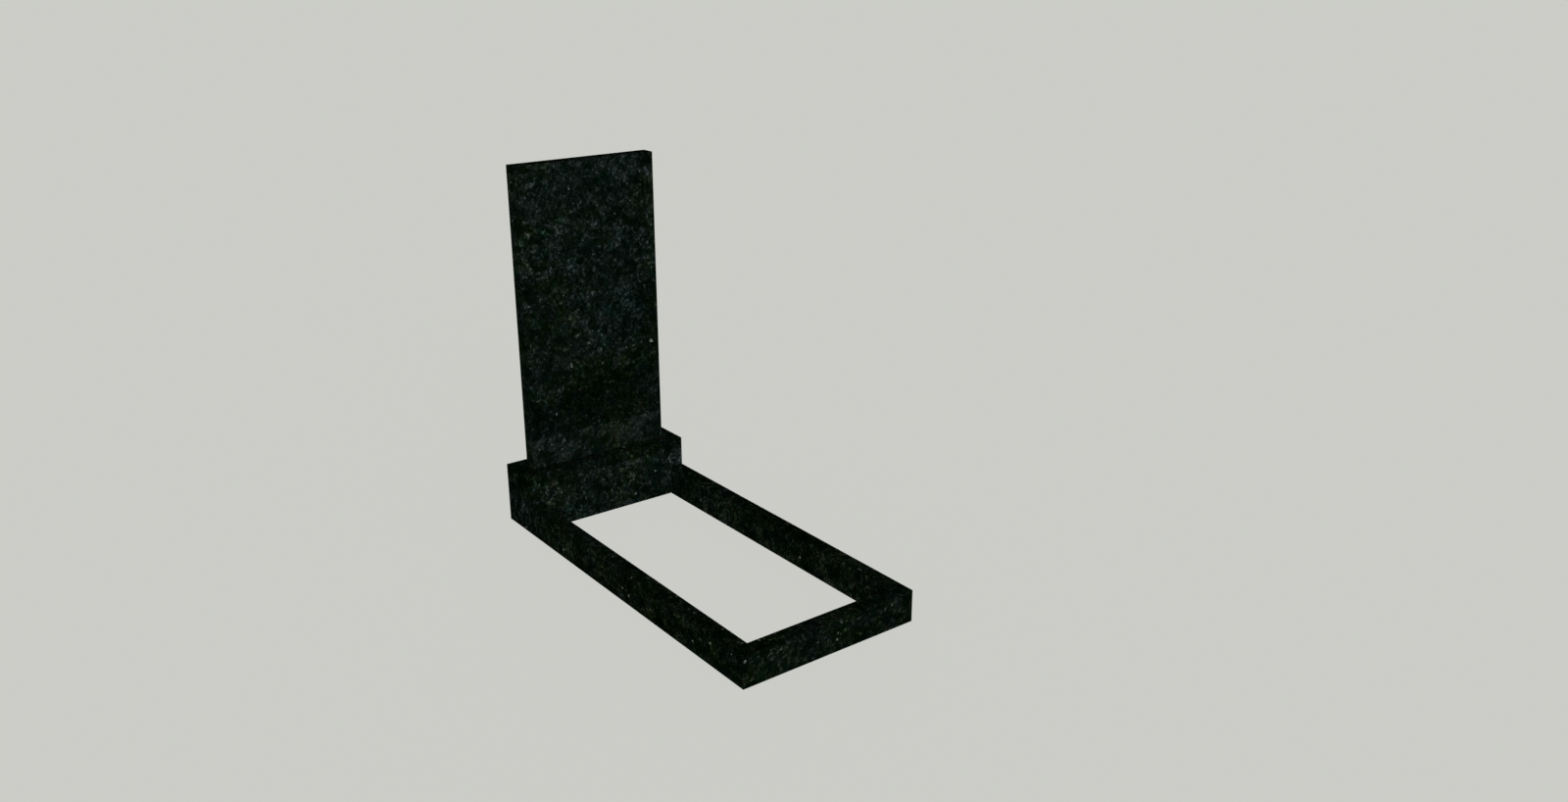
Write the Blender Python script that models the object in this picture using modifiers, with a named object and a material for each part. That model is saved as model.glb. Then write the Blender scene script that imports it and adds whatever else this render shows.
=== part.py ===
# Granite headstone: an upright slab on a plinth, with an open kerb frame in front of it.
# Metres, +Z up. The origin is on the ground at the centre of the whole monument.
# +Y points to the back, where the slab stands, and the polished front faces look along -Y.
# The blocks stand loose on each other and on the ground, each with a thin joint to the next.
import bpy
import bmesh
from mathutils import Vector

# Upright slab
SLAB_WIDTH = 0.50
SLAB_THICKNESS = 0.05
SLAB_HEIGHT = 1.00

# Plinth under the slab
PLINTH_WIDTH = 0.60
PLINTH_DEPTH = 0.15
PLINTH_HEIGHT = 0.20

# Kerb frame, which runs forward from the plinth's front face
KERB_FRAME_LENGTH = 1.20
KERB_HEIGHT = 0.10
SIDE_KERB_WIDTH = 0.05
FOOT_KERB_DEPTH = 0.05

# Joint between neighbouring blocks, and the fine rounding of every polished edge
JOINT = 0.0003
ARRIS_RADIUS = 0.0015
ARRIS_SEGMENTS = 2

# How nearly a face must point along a direction to count as facing that way
FACING_LIMIT = 0.99

# Directions in which a block can have a sawn, unpolished face
DOWN = Vector((0.0, 0.0, -1.0))
FORWARD = Vector((0.0, -1.0, 0.0))
BACKWARD = Vector((0.0, 1.0, 0.0))

# Lengthwise places, from the foot of the kerb frame to the back of the plinth
FRONT_Y = -(KERB_FRAME_LENGTH + PLINTH_DEPTH) / 2
FOOT_KERB_BACK_Y = FRONT_Y + FOOT_KERB_DEPTH
PLINTH_FRONT_Y = FRONT_Y + KERB_FRAME_LENGTH
PLINTH_CENTRE_Y = PLINTH_FRONT_Y + PLINTH_DEPTH / 2


def remove_old_objects():
    for old_object in list(bpy.data.objects):
        bpy.data.objects.remove(old_object, do_unlink=True)


def make_collection(name):
    collection = bpy.data.collections.new(name)
    bpy.context.scene.collection.children.link(collection)
    return collection


def granite(name, colour, roughness):
    material = bpy.data.materials.new(name)
    material.use_nodes = True
    material.diffuse_color = colour
    shader = material.node_tree.nodes["Principled BSDF"]
    shader.inputs["Base Color"].default_value = colour
    shader.inputs["Roughness"].default_value = roughness
    shader.inputs["Metallic"].default_value = 0.0
    return material


def slab_granite():
    return granite("slab_granite", (0.0042, 0.0069, 0.0050, 1.0), 0.24)


def plinth_granite():
    return granite("plinth_granite", (0.0045, 0.0074, 0.0056, 1.0), 0.26)


def kerb_granite():
    return granite("kerb_granite", (0.0032, 0.0056, 0.0034, 1.0), 0.28)


def faces_towards(face, direction):
    return face.normal.dot(direction) > FACING_LIMIT


def mark_arrises(mesh_data, sawn_directions):
    # Only an edge between two polished faces is rounded: the edges of sawn faces stay square.
    weights = mesh_data.edges.layers.float.new("bevel_weight_edge")
    for edge in mesh_data.edges:
        is_sawn = any(
            faces_towards(face, direction)
            for face in edge.link_faces
            for direction in sawn_directions
        )
        edge[weights] = 0.0 if is_sawn else 1.0


def add_arrises(block):
    bevel = block.modifiers.new("arrises", "BEVEL")
    bevel.limit_method = "WEIGHT"
    bevel.width = ARRIS_RADIUS
    bevel.segments = ARRIS_SEGMENTS


def make_block(name, collection, material, size, base_centre, sawn_directions):
    # A cut block of the given size, whose underside is centred on base_centre.
    mesh_data = bmesh.new()
    bmesh.ops.create_cube(mesh_data, size=1.0)
    bmesh.ops.scale(mesh_data, vec=size, verts=mesh_data.verts)
    bmesh.ops.translate(mesh_data, vec=(0.0, 0.0, size.z / 2), verts=mesh_data.verts)
    mesh_data.normal_update()
    mark_arrises(mesh_data, sawn_directions)
    mesh = bpy.data.meshes.new(name)
    mesh_data.to_mesh(mesh)
    mesh_data.free()
    mesh.materials.append(material)
    block = bpy.data.objects.new(name, mesh)
    block.location = base_centre
    collection.objects.link(block)
    add_arrises(block)
    return block


def make_plinth(collection):
    size = Vector((PLINTH_WIDTH, PLINTH_DEPTH, PLINTH_HEIGHT))
    base_centre = Vector((0.0, PLINTH_CENTRE_Y, 0.0))
    return make_block("plinth", collection, plinth_granite(), size, base_centre, [DOWN])


def make_upright_slab(collection):
    # The slab stands in the middle of the plinth's top, with a margin all round.
    size = Vector((SLAB_WIDTH, SLAB_THICKNESS, SLAB_HEIGHT))
    base_centre = Vector((0.0, PLINTH_CENTRE_Y, PLINTH_HEIGHT + JOINT))
    return make_block("upright_slab", collection, slab_granite(), size, base_centre, [DOWN])


def make_foot_kerb(collection, material):
    # The foot kerb is as long as the plinth is wide, and laps over the side kerbs' ends.
    size = Vector((PLINTH_WIDTH, FOOT_KERB_DEPTH, KERB_HEIGHT))
    base_centre = Vector((0.0, FRONT_Y + FOOT_KERB_DEPTH / 2, 0.0))
    return make_block("foot_kerb", collection, material, size, base_centre, [DOWN])


def make_side_kerb(name, side, collection, material):
    # Each side kerb fills the length between the foot kerb and the plinth, less a joint at each
    # end, and its outer face is flush with the plinth's end. side is -1 on the left, 1 on the right.
    front_end_y = FOOT_KERB_BACK_Y + JOINT
    back_end_y = PLINTH_FRONT_Y - JOINT
    size = Vector((SIDE_KERB_WIDTH, back_end_y - front_end_y, KERB_HEIGHT))
    centre_x = side * (PLINTH_WIDTH - SIDE_KERB_WIDTH) / 2
    base_centre = Vector((centre_x, (front_end_y + back_end_y) / 2, 0.0))
    sawn_directions = [DOWN, FORWARD, BACKWARD]
    return make_block(name, collection, material, size, base_centre, sawn_directions)


def make_headstone():
    collection = make_collection("headstone")
    make_plinth(collection)
    make_upright_slab(collection)
    kerb_material = kerb_granite()
    make_foot_kerb(collection, kerb_material)
    make_side_kerb("left_kerb", -1, collection, kerb_material)
    make_side_kerb("right_kerb", 1, collection, kerb_material)


remove_old_objects()
make_headstone()
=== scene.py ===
# Looks of the granite headstone: polished dark stone, a pale studio floor, soft light and the camera.
# Metres, +Z up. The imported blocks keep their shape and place, and get a procedural granite each.
from dataclasses import dataclass
from math import radians

import bpy
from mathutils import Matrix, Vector


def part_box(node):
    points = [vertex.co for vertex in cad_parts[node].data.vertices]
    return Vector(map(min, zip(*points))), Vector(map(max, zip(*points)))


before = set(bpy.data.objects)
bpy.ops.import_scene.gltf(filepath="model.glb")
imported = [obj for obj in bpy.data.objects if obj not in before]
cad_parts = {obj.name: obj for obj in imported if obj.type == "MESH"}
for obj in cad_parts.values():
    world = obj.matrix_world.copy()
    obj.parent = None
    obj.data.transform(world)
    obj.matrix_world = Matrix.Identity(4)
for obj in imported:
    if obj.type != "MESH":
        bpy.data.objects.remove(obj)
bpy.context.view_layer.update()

# Camera, as measured from the outline in the 1600 x 818 photograph
IMAGE_WIDTH_PX = 1600
FOCAL_LENGTH_PX = 1322.75
SENSOR_WIDTH_MM = 36.0
CAMERA_PLACE = Vector((-2.01224, -3.08007, 1.85353))
CAMERA_TURN_DEG = 37.523
CAMERA_TILT_DEG = 19.580
CAMERA_REACH = 320.0

# Studio: the floor glows in the backdrop's own colour, so the two meet without a line
BACKDROP_COLOUR = (0.604, 0.611, 0.578, 1.0)
FLOOR_HALF_SIZE = 80.0
FLOOR_DROP = 0.0005
FLOOR_GLOW = 0.9685
OVERHEAD_DIMMING = 0.55
DIMMING_STARTS_AT_HEIGHT = 0.3
FLOOR_REFLECTANCE = 0.03
SOFTBOX_ANGLE_DEG = 50.0
FRONT_STRENGTH = 1.50
FRONT_SHINES_TOWARDS = (0.33, 0.94, -0.05)
BACK_STRENGTH = 1.30
BACK_SHINES_TOWARDS = (-0.55, -0.84, 0.0)

# Granite: how far apart in the quarry the blocks were cut, and the sizes of its patches and grains
QUARRY_STEP = Vector((4.0, 3.0, 7.0))
CLOUD_SIZE = 0.17
BLOTCH_SIZE = 0.036
PATCH_DETAIL = 3.0
DARK_CRYSTAL_SIZE = 0.024
CRYSTAL_SIZE = 0.0090
CHIP_SIZE = 0.0050
GRAIN_STRETCH = 1.15
GRAIN_WARP_SIZE = 2.0 * CRYSTAL_SIZE
GRAIN_WARP_REACH = 1.6 * CRYSTAL_SIZE

# Granite: its colours, as reflectance. The pale mineral's tint is scaled by how much of it shows.
DARK_GROUND = (0.0001, 0.0024, 0.0006)
PALE_MINERAL = (0.73, 1.00, 0.73)
PALE_AMOUNT = 0.0038
# The rare bright flecks are pale crystals, painted as bright as glints of mica: stone colour and
# painted glint in one.
GLINT_FLECK_COLOUR = (0.200, 0.225, 0.208)
FLECK_SHARE = 0.0006
DIMMEST_FLECK = 0.2

# Granite: how far its tone varies, in stops, from patch to patch and from grain to grain
CLOUD_TONE = 4.2
BLOTCH_TONE = 3.3
GRAIN_TONE = 2.4
BRIGHT_GRAIN_TONE = 1.0
BRIGHT_GRAIN_RARITY = 10.0
DARK_CRYSTAL_TONE = -1.5
DARK_SHARE = 0.30
DARK_SHARE_SOFTNESS = 0.05
GROUND_TONE_SHARE = 0.4

# Granite: how far its blue and its red vary, in stops
CLOUD_BLUENESS = 3.6
BLOTCH_BLUENESS = 4.2
CRYSTAL_BLUENESS = 0.3
CLOUD_REDNESS = 2.0
BLOTCH_REDNESS = 3.6
CRYSTAL_REDNESS = 0.4
RED_WITH_OWN_BLUE = 0.35
RED_WITH_BLOCK_BLUE = 0.4
MOST_RED = 0.25
MOST_BLUE = 0.60
MOST_HUE_SOFTNESS = 0.4

# Granite: the darker the stone, the more freely its hue varies
DARK_TONE = -1.5
PALE_TONE = 1.5
DARK_HUE_FREEDOM = 1.8
PALE_HUE_FREEDOM = 0.6

# Granite: a block's band, whose grain is evened out less than its clouds and which fades on the
# block's ends, and the part of a face's normal that counts as facing straight sideways, up or down
BAND_EDGE = 0.001
GRAIN_CALM_SHARE = 0.5
END_BAND_LOSS = 0.5
FACING_FROM = 0.5
FACING_FULLY = 0.9

# Granite: its finish
POLISHED_ROUGHNESS = 0.14
PALE_ROUGHNESS = 0.20
ARRIS_ROUGHNESS = 0.42
ARRIS_WIDTH = 0.0018
ARRIS_CORE = 0.8 * ARRIS_WIDTH
NEAR_TWO_FACES_FROM = 1.2
NEAR_TWO_FACES_FULLY = 1.9
SAWN_ROUGHNESS = 0.65
SAWN_COLOUR = (0.030, 0.036, 0.032)
SAWN_DARKEST = 0.7
SAWN_VARIATION = 0.6
STONE_IOR = 1.5
RELIEF_STRENGTH = 0.15
RELIEF_DEPTH = 0.0002
CRYSTAL_RELIEF = 0.6


@dataclass
class BlockLook:
    # How one block's stone differs from the next, in stops: one stop doubles a colour's brightness.
    # rise and blue_rise tell its top from its foot, band_ its straight band at the foot or the top,
    # and the end and top tones are painted shading: they make the faces at its left and right ends and
    # on its top lighter or darker, to stand in for how the light falls on them. band_calm isn't in
    # stops: it is the share of the stone's own variation that the band lacks.
    tone: float
    blueness: float
    redness: float
    rise: float = 0.0
    blue_rise: float = 0.0
    band_height: float = 0.0
    band_tone: float = 0.0
    band_blueness: float = 0.0
    band_redness: float = 0.0
    band_calm: float = 0.0
    band_from_top: bool = False
    # painted shading on the end faces and on the top face, in stops
    end_painted_shading: float = 0.0
    top_painted_shading: float = 0.0


# The end and top tones are painted shading on each block's end faces and top face.
BLOCK_LOOKS = {
    "upright_slab": BlockLook(
        tone=0.27, blueness=0.28, redness=0.03, rise=0.9, blue_rise=0.5,
        band_height=0.10, band_tone=1.45, band_blueness=0.45, band_redness=0.5, band_calm=0.6),
    "plinth": BlockLook(
        tone=0.95, blueness=0.45, redness=0.10, end_painted_shading=-0.65, top_painted_shading=0.35,
        band_height=0.033, band_tone=-1.25, band_blueness=-0.35, band_redness=-0.14,
        band_from_top=True),
    "left_kerb": BlockLook(tone=-0.03, blueness=0.02, redness=0.16, top_painted_shading=0.08),
    "right_kerb": BlockLook(tone=0.42, blueness=-0.04, redness=0.18, top_painted_shading=-0.6),
    "foot_kerb": BlockLook(tone=-0.33, blueness=-0.04, redness=0.07, top_painted_shading=-0.1),
}


@dataclass
class Grain:
    # The stone's own patches and grains, from the broadest to the finest: three random numbers each.
    cloud: object
    blotch: object
    dark_crystal: object
    crystal: object
    chip: object


@dataclass
class Zones:
    # Where a point lies on its block: slope runs from -0.5 at the foot to 0.5 at the top, and the
    # others are 1 inside the band, on the two ends and on the top, and 0 elsewhere. The ends and the
    # top are where the painted shading goes.
    slope: object
    band: object
    at_end: object
    at_top: object


class Graph:
    # Short ways to add and join the nodes of one material.

    def __init__(self, tree):
        self.nodes = tree.nodes
        self.links = tree.links

    def set_input(self, socket, value):
        if isinstance(value, bpy.types.NodeSocket):
            self.links.new(value, socket)
        else:
            socket.default_value = value

    def math(self, operation, first, second=0.0, third=0.0):
        node = self.nodes.new("ShaderNodeMath")
        node.operation = operation
        for socket, value in zip(node.inputs, (first, second, third)):
            self.set_input(socket, value)
        return node.outputs[0]

    def vector_math(self, operation, first, second=(0.0, 0.0, 0.0)):
        node = self.nodes.new("ShaderNodeVectorMath")
        node.operation = operation
        self.set_input(node.inputs[0], first)
        self.set_input(node.inputs[1], second)
        return node.outputs[0]

    def scaled(self, vector, factor):
        node = self.nodes.new("ShaderNodeVectorMath")
        node.operation = "SCALE"
        self.set_input(node.inputs[0], vector)
        self.set_input(node.inputs["Scale"], factor)
        return node.outputs[0]

    def noise(self, vector, size, detail=2.0):
        node = self.nodes.new("ShaderNodeTexNoise")
        self.set_input(node.inputs["Vector"], vector)
        node.inputs["Scale"].default_value = 1.0 / size
        node.inputs["Detail"].default_value = detail
        return node.outputs["Color"]

    def cells(self, vector, size):
        # Three random numbers for each cell of a block cut into angular grains.
        node = self.nodes.new("ShaderNodeTexVoronoi")
        self.set_input(node.inputs["Vector"], vector)
        node.inputs["Scale"].default_value = 1.0 / size
        return self.split(node.outputs["Color"])

    def split(self, vector):
        node = self.nodes.new("ShaderNodeSeparateXYZ")
        self.set_input(node.inputs[0], vector)
        return node.outputs

    def ramp(self, value, low, high, low_result=0.0, high_result=1.0):
        node = self.nodes.new("ShaderNodeMapRange")
        node.interpolation_type = "SMOOTHSTEP"
        for socket, number in zip(node.inputs, (value, low, high, low_result, high_result)):
            self.set_input(socket, number)
        return node.outputs[0]

    def mix(self, factor, first, second):
        # Inputs 6 and 7 and output 2 are the Mix node's colour sockets.
        node = self.nodes.new("ShaderNodeMix")
        node.data_type = "RGBA"
        self.set_input(node.inputs[0], factor)
        self.set_input(node.inputs[6], first)
        self.set_input(node.inputs[7], second)
        return node.outputs[2]

    def total(self, values):
        result = values[0]
        for value in values[1:]:
            result = self.math("ADD", result, value)
        return result


def texture_point(graph, kind):
    return graph.nodes.new("ShaderNodeTexCoord").outputs[kind]


def varied(graph, source, spread):
    # A source that averages one half, turned into stops above and below zero.
    return graph.math("MULTIPLY_ADD", source, spread, -spread / 2.0)


def grain_tone(graph, random):
    # Most grains vary evenly, and a few are brighter still.
    bright = graph.math("POWER", random, BRIGHT_GRAIN_RARITY)
    return graph.math("MULTIPLY_ADD", bright, BRIGHT_GRAIN_TONE, varied(graph, random, GRAIN_TONE))


def in_stops(graph, stops):
    return graph.math("POWER", 2.0, stops)


def stone_grain(graph, place, cut_from):
    # The clouds and blotches lie in the quarry's own space. The grains do too, but drawn out upwards
    # and gently warped.
    in_quarry = graph.vector_math("ADD", place, cut_from)
    stretched = graph.vector_math("MULTIPLY", in_quarry, (1.0, 1.0, 1.0 / GRAIN_STRETCH))
    warp = graph.noise(stretched, GRAIN_WARP_SIZE)
    centred = graph.vector_math("SUBTRACT", warp, (0.5, 0.5, 0.5))
    warped = graph.vector_math("ADD", stretched, graph.scaled(centred, GRAIN_WARP_REACH))
    return Grain(
        cloud=graph.split(graph.noise(in_quarry, CLOUD_SIZE, PATCH_DETAIL)),
        blotch=graph.split(graph.noise(in_quarry, BLOTCH_SIZE, PATCH_DETAIL)),
        dark_crystal=graph.cells(warped, DARK_CRYSTAL_SIZE),
        crystal=graph.cells(warped, CRYSTAL_SIZE),
        chip=graph.cells(warped, CHIP_SIZE),
    )


def band_mask(graph, look, height, low, high):
    if not look.band_height:
        return 0.0
    if look.band_from_top:
        edge = high.z - look.band_height
        return graph.ramp(height, edge - BAND_EDGE, edge + BAND_EDGE)
    edge = low.z + look.band_height
    return graph.ramp(height, edge - BAND_EDGE, edge + BAND_EDGE, 1.0, 0.0)


def block_zones(graph, look, place, normal, low, high):
    height = graph.split(place)[2]
    # The end faces and the top face take the painted shading, and the band fades on the end faces.
    at_end = graph.ramp(graph.math("ABSOLUTE", normal[0]), FACING_FROM, FACING_FULLY)
    band_share = graph.math("MULTIPLY_ADD", at_end, -END_BAND_LOSS, 1.0)
    return Zones(
        slope=graph.ramp(height, low.z, high.z, -0.5, 0.5),
        band=graph.math("MULTIPLY", band_mask(graph, look, height, low, high), band_share),
        at_end=at_end,
        at_top=graph.ramp(normal[2], FACING_FROM, FACING_FULLY),
    )


def calmed(graph, look, zones, stops, share=1.0):
    # Stops of variation, evened out inside the block's band.
    kept = graph.math("MULTIPLY_ADD", zones.band, -share * look.band_calm, 1.0)
    return graph.math("MULTIPLY", stops, kept)


def broad_tone(graph, look, grain, zones):
    own_tone = graph.math(
        "ADD", varied(graph, grain.cloud[0], CLOUD_TONE), varied(graph, grain.blotch[0], BLOTCH_TONE))
    return graph.total([
        look.tone,
        calmed(graph, look, zones, own_tone),
        graph.math("MULTIPLY", zones.slope, look.rise),
        graph.math("MULTIPLY", zones.band, look.band_tone),
        # Painted shading: the end faces and the top face made lighter or darker, as the light falls on
        # them.
        graph.math("MULTIPLY", zones.at_end, look.end_painted_shading),
        graph.math("MULTIPLY", zones.at_top, look.top_painted_shading),
    ])


def pale_tone(graph, look, grain, zones, broad):
    first_pale = DARK_SHARE + DARK_SHARE_SOFTNESS
    last_dark = DARK_SHARE - DARK_SHARE_SOFTNESS
    own_grain = graph.math(
        "ADD", grain_tone(graph, grain.crystal[0]), grain_tone(graph, grain.chip[0]))
    return graph.total([
        broad,
        graph.ramp(grain.dark_crystal[0], last_dark, first_pale, DARK_CRYSTAL_TONE, 0.0),
        calmed(graph, look, zones, own_grain, GRAIN_CALM_SHARE),
    ])


def stone_hue(graph, look, grain, zones, pale):
    # What the stone's colour is multiplied by to make it bluer or redder than its ground.
    freedom = graph.ramp(pale, DARK_TONE, PALE_TONE, DARK_HUE_FREEDOM, PALE_HUE_FREEDOM)
    own_blueness = graph.total([
        varied(graph, grain.cloud[1], CLOUD_BLUENESS),
        varied(graph, grain.blotch[1], BLOTCH_BLUENESS),
        varied(graph, grain.crystal[1], CRYSTAL_BLUENESS),
    ])
    own_redness = graph.total([
        graph.math("MULTIPLY", own_blueness, RED_WITH_OWN_BLUE),
        varied(graph, grain.cloud[2], CLOUD_REDNESS),
        varied(graph, grain.blotch[2], BLOTCH_REDNESS),
        varied(graph, grain.crystal[2], CRYSTAL_REDNESS),
    ])
    blueness = graph.total([
        look.blueness,
        graph.math("MULTIPLY", own_blueness, freedom),
        graph.math("MULTIPLY", zones.slope, look.blue_rise),
        graph.math("MULTIPLY", zones.band, look.band_blueness),
    ])
    redness = graph.total([
        look.redness,
        graph.math("MULTIPLY", own_redness, freedom),
        graph.math("MULTIPLY", zones.slope, RED_WITH_BLOCK_BLUE * look.blue_rise),
        graph.math("MULTIPLY", zones.band, look.band_redness),
    ])
    hue = graph.nodes.new("ShaderNodeCombineXYZ")
    red_stops = graph.math("SMOOTH_MIN", redness, MOST_RED, MOST_HUE_SOFTNESS)
    blue_stops = graph.math("SMOOTH_MIN", blueness, MOST_BLUE, MOST_HUE_SOFTNESS)
    graph.set_input(hue.inputs["X"], in_stops(graph, red_stops))
    graph.set_input(hue.inputs["Y"], 1.0)
    graph.set_input(hue.inputs["Z"], in_stops(graph, blue_stops))
    return hue.outputs[0]


# Rare bright flecks: pale crystals painted as bright as glints of mica, so partly a painted glint.
def with_glint_flecks(graph, grain, stone):
    first_fleck = 1.0 - FLECK_SHARE
    is_glint_fleck = graph.math(
        "MAXIMUM",
        graph.math("GREATER_THAN", grain.crystal[1], first_fleck),
        graph.math("GREATER_THAN", grain.chip[1], first_fleck))
    brightness = graph.math("MULTIPLY_ADD", grain.chip[2], 1.0 - DIMMEST_FLECK, DIMMEST_FLECK)
    return graph.mix(is_glint_fleck, stone, graph.scaled(GLINT_FLECK_COLOUR, brightness))


def polished_colour(graph, look, grain, zones):
    # A dark ground that hardly varies, with the pale mineral in it.
    broad = broad_tone(graph, look, grain, zones)
    pale = pale_tone(graph, look, grain, zones, broad)
    ground_tone = graph.math("MULTIPLY", broad, GROUND_TONE_SHARE)
    ground = graph.scaled(DARK_GROUND, in_stops(graph, ground_tone))
    pale_amount = graph.math("MULTIPLY", in_stops(graph, pale), PALE_AMOUNT)
    mineral = graph.scaled(PALE_MINERAL, pale_amount)
    hue = stone_hue(graph, look, grain, zones, pale)
    stone = graph.vector_math("MULTIPLY", graph.vector_math("ADD", ground, mineral), hue)
    return with_glint_flecks(graph, grain, stone)


def sawn_colour(graph, grain):
    brightness = graph.math("MULTIPLY_ADD", grain.chip[0], SAWN_VARIATION, SAWN_DARKEST)
    return graph.scaled(SAWN_COLOUR, brightness)


def arris_mask(graph, place, low, high):
    # 1 on the block's rounded edges: there a point is close to two of the block's six faces at once.
    centre = (low + high) / 2.0
    half = (high - low) / 2.0
    from_centre = graph.vector_math("ABSOLUTE", graph.vector_math("SUBTRACT", place, centre))
    depths = graph.split(graph.vector_math("SUBTRACT", half, from_centre))
    close = [graph.ramp(depth, ARRIS_CORE, ARRIS_WIDTH, 1.0, 0.0) for depth in depths]
    return graph.ramp(graph.total(close), NEAR_TWO_FACES_FROM, NEAR_TWO_FACES_FULLY)


def stone_roughness(graph, grain, arris, sawn):
    paler = PALE_ROUGHNESS - POLISHED_ROUGHNESS
    polished = graph.math("MULTIPLY_ADD", grain.crystal[0], paler, POLISHED_ROUGHNESS)
    with_arris = graph.math("MAXIMUM", polished, graph.math("MULTIPLY", arris, ARRIS_ROUGHNESS))
    return graph.math("MAXIMUM", with_arris, graph.math("MULTIPLY", sawn, SAWN_ROUGHNESS))


def stone_relief(graph, grain):
    bump = graph.nodes.new("ShaderNodeBump")
    bump.inputs["Strength"].default_value = RELIEF_STRENGTH
    bump.inputs["Distance"].default_value = RELIEF_DEPTH
    height = graph.math("MULTIPLY_ADD", grain.crystal[2], CRYSTAL_RELIEF, grain.chip[2])
    graph.set_input(bump.inputs["Height"], height)
    return bump.outputs[0]


def granite_material(name, look, cut_from, low, high):
    material = bpy.data.materials.new(name + "_polished_granite")
    material.use_nodes = True
    graph = Graph(material.node_tree)
    place = texture_point(graph, "Object")
    normal = graph.split(texture_point(graph, "Normal"))
    grain = stone_grain(graph, place, cut_from)
    zones = block_zones(graph, look, place, normal, low, high)
    arris = arris_mask(graph, place, low, high)
    sawn = graph.math("LESS_THAN", normal[2], -FACING_FULLY)
    polished = polished_colour(graph, look, grain, zones)
    shader = graph.nodes["Principled BSDF"]
    graph.set_input(shader.inputs["Base Color"], graph.mix(sawn, polished, sawn_colour(graph, grain)))
    graph.set_input(shader.inputs["Roughness"], stone_roughness(graph, grain, arris, sawn))
    graph.set_input(shader.inputs["Normal"], stone_relief(graph, grain))
    shader.inputs["IOR"].default_value = STONE_IOR
    return material


def dress_blocks():
    for number, (name, look) in enumerate(BLOCK_LOOKS.items(), start=1):
        low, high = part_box(name)
        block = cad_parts[name]
        material = granite_material(name, look, number * QUARRY_STEP, low, high)
        for slot in block.material_slots:
            slot.material = material


def add_floor():
    bpy.ops.mesh.primitive_plane_add(size=2.0 * FLOOR_HALF_SIZE, location=(0.0, 0.0, -FLOOR_DROP))
    floor = bpy.context.object
    floor.name = "studio_floor"
    floor.visible_glossy = False
    material = bpy.data.materials.new("studio_floor")
    material.use_nodes = True
    shader = material.node_tree.nodes["Principled BSDF"]
    shader.inputs["Base Color"].default_value = (FLOOR_REFLECTANCE,) * 3 + (1.0,)
    shader.inputs["Roughness"].default_value = 1.0
    shader.inputs["Specular IOR Level"].default_value = 0.0
    shader.inputs["Emission Color"].default_value = BACKDROP_COLOUR
    shader.inputs["Emission Strength"].default_value = FLOOR_GLOW
    floor.data.materials.append(material)


def add_softbox(name, strength, shines_towards):
    light = bpy.data.lights.new(name, "SUN")
    light.energy = strength
    light.angle = radians(SOFTBOX_ANGLE_DEG)
    lamp = bpy.data.objects.new(name, light)
    lamp.rotation_euler = Vector(shines_towards).to_track_quat("-Z", "Y").to_euler()
    lamp.visible_glossy = False
    bpy.context.scene.collection.objects.link(lamp)


def light_studio():
    # Even light from all round, which the polish doesn't mirror, and two broad softboxes: the main one
    # by the camera, and a weaker one for the faces at the back.
    world = bpy.data.worlds.new("studio")
    bpy.context.scene.world = world
    world.use_nodes = True
    background = world.node_tree.nodes["Background"]
    background.inputs["Color"].default_value = BACKDROP_COLOUR
    graph = Graph(world.node_tree)
    up = graph.split(texture_point(graph, "Generated"))[2]
    dimming = graph.ramp(up, DIMMING_STARTS_AT_HEIGHT, 1.0, 1.0, OVERHEAD_DIMMING)
    graph.set_input(background.inputs["Strength"], dimming)
    world.cycles_visibility.glossy = False
    add_softbox("front_softbox", FRONT_STRENGTH, FRONT_SHINES_TOWARDS)
    add_softbox("back_softbox", BACK_STRENGTH, BACK_SHINES_TOWARDS)


def add_camera():
    camera = bpy.data.cameras.new("camera")
    camera.sensor_width = SENSOR_WIDTH_MM
    camera.lens = SENSOR_WIDTH_MM * FOCAL_LENGTH_PX / IMAGE_WIDTH_PX
    camera.clip_end = CAMERA_REACH
    holder = bpy.data.objects.new("camera", camera)
    holder.location = CAMERA_PLACE
    holder.rotation_euler = (radians(90.0 - CAMERA_TILT_DEG), 0.0, radians(-CAMERA_TURN_DEG))
    bpy.context.scene.collection.objects.link(holder)
    bpy.context.scene.camera = holder


def set_picture():
    bpy.context.scene.view_settings.view_transform = "Standard"


set_picture()
dress_blocks()
add_floor()
light_studio()
add_camera()
